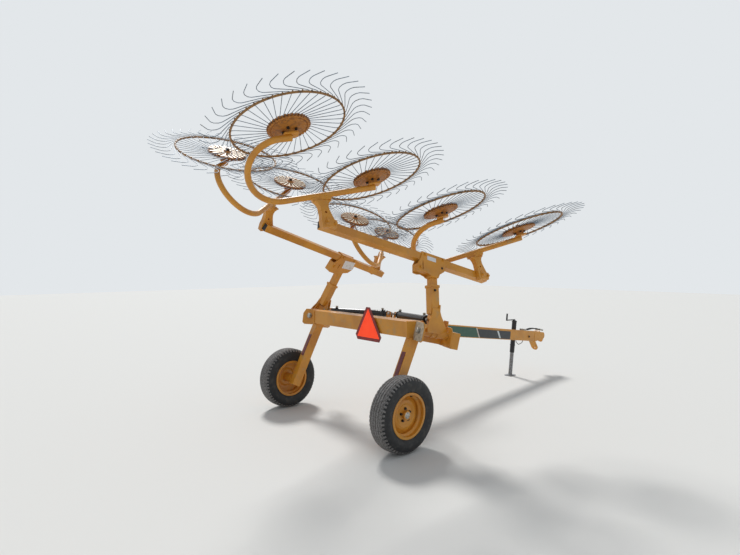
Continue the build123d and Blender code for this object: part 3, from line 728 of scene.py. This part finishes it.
# Rocker posts: each row has two, cut from thick plate with a waist and a wide head, and
# welded on a foot that is clamped under the rake beam.
POST_DROP = -0.051
POST_HALF = 0.030
AXLE_WAY = Vector((0.371368, 0.928486, 0.0))
POST_ALONG = (-1.190, 0.666)
BEAM_ENDS = (-1.260, 0.736)
PLUG_HALF = 0.0345
post_outline = [
    (-0.092, -0.036), (0.040, -0.036), (0.044, 0.030), (0.030, 0.085), (0.022, 0.130), (0.024, 0.160),
    (0.036, 0.184), (0.056, 0.200), (0.074, 0.207), (0.074, 0.2145), (-0.092, 0.2145), (-0.092, 0.207),
    (-0.078, 0.194), (-0.066, 0.170), (-0.062, 0.135), (-0.070, 0.080), (-0.086, 0.030),
]
forward = Vector((AXLE_WAY.y, -AXLE_WAY.x, 0))
for side in SIDES:
    row = ROW_PLACES[side]
    parts = []
    spots = []
    seams = []
    for x in POST_ALONG:
        post = sheet("post", post_outline, 2 * POST_HALF, edge=0.003)
        pierce(post, -0.022, 0.100, 0.011)
        stand = rig((x, 0, POST_DROP - POST_HALF), forward, AXLE_WAY * -1, (0, 0, 1))
        parts.append(placed(post, stand))
        parts.append(block("foot", (x - 0.055, -0.038, -0.0885), (x + 0.055, 0.038, -0.0385), 0.004))
        for dx in (-0.038, 0.038):
            spots.append(seat(row @ Vector((x + dx, 0.0, -0.0885)), row.col[2].xyz * -1, row.col[0].xyz))
        for dx in (-0.057, 0.057):
            seams.append([(x + dx, -0.035, -0.0392), (x + dx, 0.035, -0.0392)])
    posts = join("rocker_post_plates_" + side, parts)
    lay(posts, row, "row_" + side, enamel)
    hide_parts("rocker_posts_" + side)
    fasteners("post_bolts_" + side, spots, 0.024, 0.013, "row_" + side, enamel)
    # moulded plugs close the beam's ends against rain
    plugs = []
    for end, inward in zip(BEAM_ENDS, (1, -1)):
        low, high = sorted((end - inward * 0.0025, end + inward * 0.004))
        plugs.append(block("plug", (low, -PLUG_HALF, -PLUG_HALF), (high, PLUG_HALF, PLUG_HALF), 0.002))
    lay(join("beam_plugs_" + side, plugs), row, "row_" + side, sidewall)
    for number, seam in enumerate(seams, 1):
        bead("weld_post_" + side + "_" + str(number), seam, row, "row_" + side)


# Rockers: one round tube for each pair of rake wheels, with a straight leg and a long hook
# bent cold round a former. A yoke welded under the tube swings on the post, and a flat seat
# near each end holds a wheel's axle.
ROCKER_TUBE = 0.026
HOOK_RADIUS = 0.275
HOOK_STEPS = 24
BEND_AT = -0.336
LEG_END = 0.507
HOOK_END = -0.243
AXLE_OUT = Vector((0.007369, 0.797584, 0.603163))
# place of each rocker at rest: its pivot, then the ways along the leg and out of the hook
ROCKERS = {
    "right_rear": ((-1.7949, -0.3946, 2.2799), (0.9185, -0.3434, 0.1963), (0.3557, 0.4999, -0.7897)),
    "right_front": ((-0.0255, -0.7051, 1.8133), (0.6568, -0.6928, 0.2979), (0.6455, 0.3123, -0.6970)),
    "left_rear": ((-1.7471, 0.5258, 2.3085), (0.7287, 0.5687, 0.3815), (0.5878, -0.2337, -0.7745)),
    "left_front": ((0.0255, 0.8095, 1.8375), (0.6858, 0.6081, 0.3999), (0.6225, -0.2053, -0.7552)),
}
hook_run = [Vector((x, 0, 0)) for x in (LEG_END, 0.2, BEND_AT)]
for i in range(1, HOOK_STEPS):
    turn = math.pi * i / HOOK_STEPS
    out, down = HOOK_RADIUS * math.sin(turn), HOOK_RADIUS * math.cos(turn)
    hook_run.append(Vector((BEND_AT - out, 0, -HOOK_RADIUS + down)))
hook_run += [Vector((x, 0, -2 * HOOK_RADIUS)) for x in (BEND_AT, HOOK_END)]
yoke_outline = [(-0.100, 0.012), (0.086, 0.012), (0.074, 0.052), (-0.092, 0.052)]
seat_outline = [
    (-0.060, -0.026), (-0.048, -0.038), (0.048, -0.038), (0.060, -0.026), (0.060, 0.026), (0.048, 0.038),
    (-0.048, 0.038), (-0.060, 0.026),
]
leg_way = Vector((0, 1, 0)).cross(AXLE_OUT).normalized()
square = leg_way.cross(AXLE_OUT)
for name, (pivot, along, hook_way) in ROCKERS.items():
    side = name.split("_")[0]
    parts = [wire("tube", hook_run, ROCKER_TUBE, 20)]
    smooth(parts[0], 50)
    yoke = sheet("yoke", yoke_outline, 0.048, edge=0.003)
    parts.append(placed(yoke, rig(square * -0.024, leg_way, AXLE_OUT, square)))
    sleeve = [(0.019, 0.006), (0.036, 0.006), (0.036, 0.0515), (0.019, 0.0515), (0.019, 0.006)]
    parts.append(placed(lathe("sleeve", sleeve, 32), seat((0, 0, 0), AXLE_OUT, leg_way)))
    smooth(parts[-1])
    for end in (hook_run[0], hook_run[-1]):
        flat = sheet("flat", seat_outline, 0.016, edge=0.002)
        parts.append(placed(flat, rig(end - AXLE_OUT * 0.020, leg_way, square, AXLE_OUT * -1)))
        stub = [(0.0, 0.020), (0.014, 0.020), (0.014, 0.114), (0.0, 0.114)]
        parts.append(placed(lathe("stub", stub, 20), seat(end, AXLE_OUT * -1, leg_way)))
    rocker = join("rocker_tube_" + name, parts)
    third = Vector(hook_way).cross(Vector(along))
    if side == "left":
        third = third * -1
    lay(rocker, rig(pivot, along, third, hook_way), "row_" + side, enamel)
    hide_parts("rocker_" + name)


# Rake wheels: forty spring-steel tines through a rolled ring, clamped at the hub between a
# plain disc and a fluted one. Each tine leaves the hub at a slant, turns hard at the ring
# and runs along it, and its tip bends back outwards.
TINES = 40
RING_RADIUS = 0.453
TINE_RADIUS = 0.0028
TIP_RADIUS = 0.679
HUB_RADIUS = 0.166
HUB_DROP = 0.093
HUB_STEPS = 160


def bent(points, bends, steps=5):
    """The run of a bar through the points, each inner corner rounded to its bend radius."""
    line = [points[0]]
    for before, corner, after, bend in zip(points, points[1:], points[2:], bends):
        into = (before - corner).normalized()
        away = (after - corner).normalized()
        half = into.angle(away) / 2
        middle = corner + (into + away).normalized() * (bend / math.sin(half))
        start = corner + into * (bend / math.tan(half))
        stop = corner + away * (bend / math.tan(half))
        for i in range(steps + 1):
            spoke = (start - middle).lerp(stop - middle, i / steps).normalized()
            line.append(middle + spoke * bend)
    return line + [points[-1]]


def ring_copies(piece, count):
    """Copy a piece round Z in edit mode, so that 'count' of it stand in a ring."""
    choose(piece)
    bpy.ops.object.mode_set(mode="EDIT")
    bpy.ops.mesh.select_all(action="SELECT")
    bpy.ops.mesh.spin(
        steps=count - 1, dupli=True, angle=math.tau * (count - 1) / count, center=(0, 0, 0), axis=(0, 0, 1)
    )
    bpy.ops.object.mode_set(mode="OBJECT")


# Spring steel: oil-hardened and left bare, blue-grey, and bright where hay has polished it.
tine_steel = mottled(
    "oil_hardened_tine_steel", "#66737F", 0.55, "#7F8C99", "#55524F", 0.04, metallic=0.3, low=0.45, high=0.75
)
# Hub enamel: the same paint, dulled by chaff, rust-flecked where the tines rub, and painted darker brown as
# shade.
# painted shade: these base browns are darker than the frame's enamel; only the small dark specks are rust
hub_enamel_rust_and_shade, hub_enamel_rust_and_shade_shader = new_finish("hub_enamel_rust_and_painted_shade", "#A56A26", 0.5)
hub_shade_tone = mottle(hub_enamel_rust_and_shade, hub_enamel_rust_and_shade_shader, "#B07128", "#8E5A24", 0.03)
mottle(hub_enamel_rust_and_shade, hub_enamel_rust_and_shade_shader, hub_shade_tone, "#5E3A20", 0.012, low=0.62, high=0.7, detail=5.0)
# Flute tops: paint rubbed down to bright steel, painted pale cream as a painted highlight of the sun's glint.
flute_metal_and_highlight = mottled(
    "bare_steel_with_painted_highlight", "#C9C0AA", 0.5, "#D2CAB6", "#A08A66", 0.02, metallic=0.3, low=0.5, high=0.75
)
# Ring enamel: gone brown and dull, where the rubbed clips have let it rust.
ring_enamel = mottled("rusted_ring_enamel", "#946A3A", 0.55, "#9C703C", "#5E4630", 0.03, low=0.45, high=0.68)

tine = wire(
    "tine",
    bent(
        [
            polar(0.100, 42.0, -0.004),
            polar(RING_RADIUS + 0.010, 0.2, -0.004),
            polar(0.574, 29.8, -0.003),
            polar(TIP_RADIUS, 18.5, -0.003),
        ],
        (0.040, 0.062),
    ),
    TINE_RADIUS,
)
ring_copies(tine, TINES)
smooth(tine, 50)

bpy.ops.object.select_all(action="DESELECT")
bpy.ops.mesh.primitive_torus_add(
    major_radius=RING_RADIUS, minor_radius=0.0078, major_segments=120, minor_segments=8, location=(0, 0, 0)
)
ring = bpy.context.object
ring.name = "ring"
bpy.ops.transform.resize(value=(1, 1, 1.25))
bpy.ops.object.transform_apply(location=True, rotation=True, scale=True)
smooth(ring, 60)
# a pressed clip holds each tine in the ring
bpy.ops.object.select_all(action="DESELECT")
bpy.ops.mesh.primitive_cube_add(size=1, location=(RING_RADIUS, 0, -0.004), scale=(0.0165, 0.009, 0.017))
clip = bpy.context.object
bpy.ops.object.transform_apply(location=True, rotation=True, scale=True)
ring_copies(clip, TINES)
ring = join("ring", [ring, clip])

GROOVE = 0.148
BOSS_END = HUB_DROP - ROCKER_TUBE - 0.0105
hub = lathe(
    "hub",
    [
        (0.016, -0.010), (0.060, -0.010), (0.064, -0.013), (HUB_RADIUS - 0.010, -0.013), (HUB_RADIUS, -0.011),
        (HUB_RADIUS, -0.003), (HUB_RADIUS - 0.006, -0.001), (HUB_RADIUS - 0.006, 0.004), (HUB_RADIUS, 0.006),
        (HUB_RADIUS, 0.011), (HUB_RADIUS - 0.003, 0.013), (GROOVE + 0.004, 0.013), (GROOVE + 0.001, 0.008),
        (GROOVE - 0.003, 0.008), (GROOVE - 0.006, 0.014), (0.098, 0.015), (0.062, 0.026), (0.041, 0.028),
        (0.041, BOSS_END), (0.016, BOSS_END), (0.016, -0.010),
    ],
    HUB_STEPS,
)


def scallop(face):
    """Two steps in four of the hub's rim."""
    return from_axis(face) > HUB_RADIUS - 0.001 and sector(face, HUB_STEPS) % 4 < 2


press_faces(hub, scallop, 0.009)
smooth(hub, 30)

HUB_FACE = -0.0135
FLUTES_FROM = 0.052
disc_edge = HUB_RADIUS + 0.002
disc_outline = [
    (0.034, HUB_FACE), (FLUTES_FROM, HUB_FACE), (disc_edge, HUB_FACE), (disc_edge, HUB_FACE + 0.001),
    (0.034, HUB_FACE + 0.001), (0.034, HUB_FACE),
]
flutes = lathe("flutes", disc_outline, HUB_STEPS)


def flute(face):
    """Three steps in eight of the disc's outer face."""
    outside = face.normal.z < -0.9 and face.center.z < HUB_FACE + 0.0003
    return outside and from_axis(face) > FLUTES_FROM and sector(face, HUB_STEPS) % 8 < 3


press_faces(flutes, flute, 0.006)
# the gaps and walls take the hub enamel with its painted shade, the flute tops the pale steel with its
# painted highlight
flutes.data.materials.append(hub_enamel_rust_and_shade)
flutes.data.materials.append(flute_metal_and_highlight)
for face in flutes.data.polygons:
    face.material_index = int(face.center.z < HUB_FACE - 0.005 and face.normal.z < -0.7)

# the turned cover over the hub's outer bearing
COVER_END = -0.031
cover = lathe(
    "hub_cover",
    [
        (0.0, COVER_END), (0.026, COVER_END), (0.030, -0.028), (0.036, -0.020), (0.050, -0.0195),
        (0.052, -0.0175), (0.052, HUB_FACE), (0.0, HUB_FACE),
    ],
    40,
)
smooth(cover)
HUB_BOLT_CIRCLE, HUB_BOLT_FACE = 0.053, 0.0262

for side in SIDES:
    for number in range(1, 5):
        label = side + "_" + str(number)
        joint = joints["rake_wheel_spin_" + label]
        place = seat(joint["pos_m"], joint["axis"])
        if side == "left":
            place = place @ Matrix.Diagonal((1, -1, 1, 1))
        body = "rake_wheel_" + label
        tines = copied(tine, "tines_" + label)
        lay(tines, place, body, tine_steel)
        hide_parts("rake_wheel_" + label)
        lay(copied(ring, "ring_" + label), place, body, ring_enamel)
        lay(copied(hub, "hub_" + label), place, body, hub_enamel_rust_and_shade)
        lay(copied(flutes, "fluted_disc_" + label), place, body)
        lay(copied(cover, "hub_cover_" + label), place, body, hub_enamel_rust_and_shade)
        nut_at = seat(place @ Vector((0, 0, COVER_END)), -place.col[2].xyz)
        fasteners("axle_nut_" + label, [nut_at], 0.030, 0.018, body, dark_steel)
        spots = bolt_circle(place, HUB_BOLT_CIRCLE, 4, 45, HUB_BOLT_FACE)
        fasteners("hub_bolts_" + label, spots, 0.019, 0.012, body, dark_steel)
for pattern in (tine, ring, hub, flutes, cover):
    bpy.data.objects.remove(pattern)


# Tongue panels: printed vinyl stuck on each side of the tongue, dark green towards the
# crossbeam and near-black towards the hitch, with pale slanted edges.
TONGUE_ALONG = Vector((0.991417, 0.0, -0.130733))
TONGUE_ABOVE = Vector((0.130733, 0.0, 0.991417))
TONGUE_START = Vector((-0.795, 0.167, 1.023))
TONGUE_HALF = 0.051
tongue_place = rig(TONGUE_START, TONGUE_ALONG, (0, 1, 0), TONGUE_ABOVE)
# Printed vinyl: satin film, a little bleached in patches.
green_vinyl = mottled("dark_green_vinyl", "#2C5546", 0.38, "#2E5949", "#3E5E50", 0.06, low=0.5, high=0.8)
black_vinyl = mottled("slate_black_vinyl", "#262C31", 0.36, "#272D33", "#3A3D3E", 0.06, low=0.5, high=0.8)
pale_vinyl = mottled("pale_grey_vinyl", "#CFD6D6", 0.45, "#D2D8D8", "#A8A79E", 0.04, low=0.55, high=0.8)
panels = (
    ("green_panel", [(1.300, -0.067), (2.010, -0.067), (1.930, 0.062), (1.300, 0.062)], 0.0, green_vinyl),
    ("pale_edge", [(2.014, -0.067), (2.032, -0.067), (1.952, 0.062), (1.934, 0.062)], 0.0, pale_vinyl),
    ("black_panel", [(2.036, -0.067), (2.780, -0.067), (2.780, 0.048), (1.965, 0.048)], 0.014, black_vinyl),
    ("pale_flash", [(2.500, -0.060), (2.540, -0.060), (2.470, 0.042), (2.430, 0.042)], 0.0, pale_vinyl),
)
for side, outward in SIDES.items():
    for name, outline, corner, finish in panels:
        panel = sheet(name + "_" + side, outline, 0.0005, corner, 0.0)
        lift = 0.0008 if name == "pale_flash" else 0.0002
        at = TONGUE_START + Vector((0, outward * (TONGUE_HALF + lift), 0))
        lay(panel, rig(at, TONGUE_ALONG, TONGUE_ABOVE, (0, outward, 0)), "chassis", finish)


# Hydraulic hoses: two wire-braided rubber hoses that come up out of the tongue through a
# clamp, each with a crimped ferrule and a zinc-plated quick coupler at its end.
# Hose rubber: matt and near black, with grey dust on it.
rubber = mottled("hose_cover_rubber", "#191A1C", 0.55, "#18191B", "#35332F", 0.03, low=0.5, high=0.75)
dress(rubber, "hydraulic_hoses")
dress(zinc, "hose_couplers")
ferrule_outline = [
    (0.0083, 0.0), (0.0125, 0.0), (0.0125, 0.006), (0.0108, 0.008), (0.0112, 0.014), (0.0104, 0.016),
    (0.0112, 0.022), (0.0104, 0.024), (0.0112, 0.030), (0.0100, 0.036), (0.0083, 0.036), (0.0083, 0.0),
]
for number, y in enumerate((-0.020, 0.020), 1):
    place = seat(tongue_place @ Vector((3.2125, y, 0.090)), TONGUE_ALONG)
    turned("hose_ferrule_" + str(number), ferrule_outline, 24, place, "chassis", zinc)
# a loop of bent steel rod, welded under the tongue at both ends
loop_line = [
    Vector((3.020, 0, -0.074)), Vector((3.030, 0, -0.108)), Vector((3.100, 0, -0.142)),
    Vector((3.190, 0, -0.112)), Vector((3.215, 0, -0.074)),
]
loop = wire("chain_loop", bent(loop_line, (0.016, 0.030, 0.016)), 0.0045, 12)
smooth(loop, 50)
lay(loop, tongue_place, "chassis", dark_steel)


# Hitch: a cast nose welded on the tongue's end and bolted through it, with two jaws under
# it, all in the frame's enamel. The through bolts are bare and rusty.
# Rust: brown and rough, with almost no shine.
rusty = mottled("rusty_bolt_steel", "#5A3A25", 0.7, "#62402A", "#3A2A22", 0.006, metallic=0.2)
for side, outward in SIDES.items():
    at = tongue_place @ Vector((3.292, outward * TONGUE_HALF, -0.009))
    spots = [seat(at, (0, outward, 0), TONGUE_ALONG)]
    fasteners("hitch_bolts_" + side, spots, 0.024, 0.013, "chassis", rusty)
NOSE_SEAM = 3.4575
joint_ring = [(NOSE_SEAM, y, z) for y, z in rectangle(TONGUE_HALF + 0.001, 0.077)]
bead("weld_nose", joint_ring, tongue_place, "chassis", 0.003)


# Parking jack: a black screw jack on the tongue's left side. A crank on its head drives a
# grey galvanised leg, with a welded foot plate, down to the ground.
# Black paint has a satin gleam, and galvanised tube blurs all that it reflects.
black = mottled("satin_black_paint", "#1A1A1C", 0.42, "#1A1A1C", "#3B342C", 0.03, low=0.58, high=0.78)
galvanised = mottled("dull_galvanised_tube", "#85868A", 0.5, "#8C8D90", "#6A6760", 0.02, metallic=0.7)
dress(black, "jack_body", "jack_crank")
dress(galvanised, "jack_leg")
JACK_ALONG, JACK_OUT = 3.0946, 0.097
jack_place = seat(tongue_place @ Vector((JACK_ALONG, JACK_OUT, 0)), TONGUE_ABOVE)
head_outline = [
    (0.0, 0.222), (0.012, 0.221), (0.024, 0.216), (0.033, 0.207), (0.037, 0.199), (0.037, 0.196),
    (0.0, 0.196),
]
turned("jack_head_cap", head_outline, 32, jack_place, "chassis", black)
sleeve_outline = [
    (0.0285, -0.272), (0.0340, -0.272), (0.0340, -0.172), (0.0375, -0.170), (0.0375, -0.150),
    (0.0342, -0.150), (0.0342, -0.1702), (0.0285, -0.1702), (0.0285, -0.272),
]
turned("jack_sleeve", sleeve_outline, 32, jack_place, "chassis", black)
spots = []
for along in (-0.0405, 0.0405):
    for above in (-0.036, 0.036):
        at = tongue_place @ Vector((JACK_ALONG + along, JACK_OUT, above))
        spots.append(seat(at, (0, 1, 0), TONGUE_ALONG))
fasteners("jack_bolts", spots, 0.010, 0.006, "chassis", zinc)


# Slow-vehicle sign: an aluminium triangle with cut corners on two standoffs behind the
# crossbeam, a dark red retroreflective border round a fluorescent orange middle.
# Sign films: the border gleams a little, and the orange is given a painted glow, so it looks brighter than
# its light.
sign_red = mottled("dark_red_reflective_border", "#8A1B14", 0.35, "#8E1D15", "#731611", 0.05)
sign_orange, sign_orange_shader = new_finish("fluorescent_orange_film_painted_glow", "#FF4A0E", 0.5)
mottle(sign_orange, sign_orange_shader, "#FF4B0F", "#F23F0A", 0.08)
# painted glow: the orange film gives off a faint light of its own, though it is no lamp
sign_orange_shader.inputs["Emission Color"].default_value = srgb("#FF3A06")
sign_orange_shader.inputs["Emission Strength"].default_value = 0.4
dress(sign_red, "slow_sign")
# the orange triangle's inner radius, and where its middle stands across the rake
SIGN_IN = 0.100
SIGN_Y = -0.060
triangle = [polar(2 * SIGN_IN, 90 + 120 * i).to_2d() for i in range(3)]
middle = sheet("sign_orange_middle", triangle, 0.0006, 0.003, 0.0)
sign_place = rig((-0.9662, SIGN_Y, 1.026), (0, -1, 0), (0, 0, 1), (-1, 0, 0))
lay(middle, sign_place, "chassis", sign_orange)
spots = [seat((-0.966, SIGN_Y + y, 1.060), (-1, 0, 0)) for y in (-0.046, 0.046)]
# the bolt heads take the same orange film, with its painted glow
fasteners("sign_bolts", spots, 0.010, 0.005, "chassis", sign_orange)


# Floor, light and camera: a matt, pale studio floor under the rake, one broad lamp high up
# at its front left, and a soft pale sky all round.
bpy.ops.object.select_all(action="DESELECT")
bpy.ops.mesh.primitive_plane_add(size=60, location=(0, 0, 0))
floor = bpy.context.object
floor.name = "studio_floor"
coat(floor.data, new_finish("pale_floor", "#D9D7D2", 0.9)[0])

world = bpy.data.worlds.new("pale_sky")
bpy.context.scene.world = world
world.use_nodes = True
sky = world.node_tree.nodes["Background"]
sky.inputs["Color"].default_value = srgb("#DDE4EC")
sky.inputs["Strength"].default_value = 0.62
# the camera, gloss and chrome see a paler sky than the one that lights the rake
rays = add_node(world, "LightPath")
seen = rays.outputs["Is Camera Ray"]
for kind in ("Is Glossy Ray", "Is Transmission Ray"):
    seen = add_node(world, "Math", {0: seen, 1: rays.outputs[kind]}, operation="MAXIMUM").outputs[0]
seen_sky = add_node(world, "Background", {"Color": srgb("#E3E7EA"), "Strength": 1.0})
skies = {0: seen, 1: sky.outputs["Background"], 2: seen_sky.outputs["Background"]}
shown = add_node(world, "MixShader", skies)
world.node_tree.links.new(shown.outputs[0], world.node_tree.nodes["World Output"].inputs["Surface"])

bpy.ops.object.light_add(type="SUN", rotation=(0, 0, 0))
key = bpy.context.object
key.name = "key_lamp"
key.data.energy = 2.6
key.data.angle = math.radians(12)
SUN_BEARING = math.radians(66.4)
SUN_HEIGHT = math.radians(48.0)
level = math.cos(SUN_HEIGHT)
toward = Vector((math.cos(SUN_BEARING) * level, math.sin(SUN_BEARING) * level, math.sin(SUN_HEIGHT)))
key.rotation_euler = toward.to_track_quat("Z", "Y").to_euler()

CAMERA_AT = (-4.2646, -3.8358, 1.6732)
HEADING = math.radians(41.373)
PITCH = math.radians(1.414)
CAMERA_LENS = 23.566
look = Vector((math.sin(HEADING) * math.cos(PITCH), math.cos(HEADING) * math.cos(PITCH), -math.sin(PITCH)))
bpy.ops.object.camera_add(location=CAMERA_AT)
camera = bpy.context.object
camera.rotation_euler = look.to_track_quat("-Z", "Y").to_euler()
camera.data.sensor_width = 36.0
camera.data.lens = CAMERA_LENS
bpy.context.scene.camera = camera
bpy.context.scene.view_settings.view_transform = "Standard"
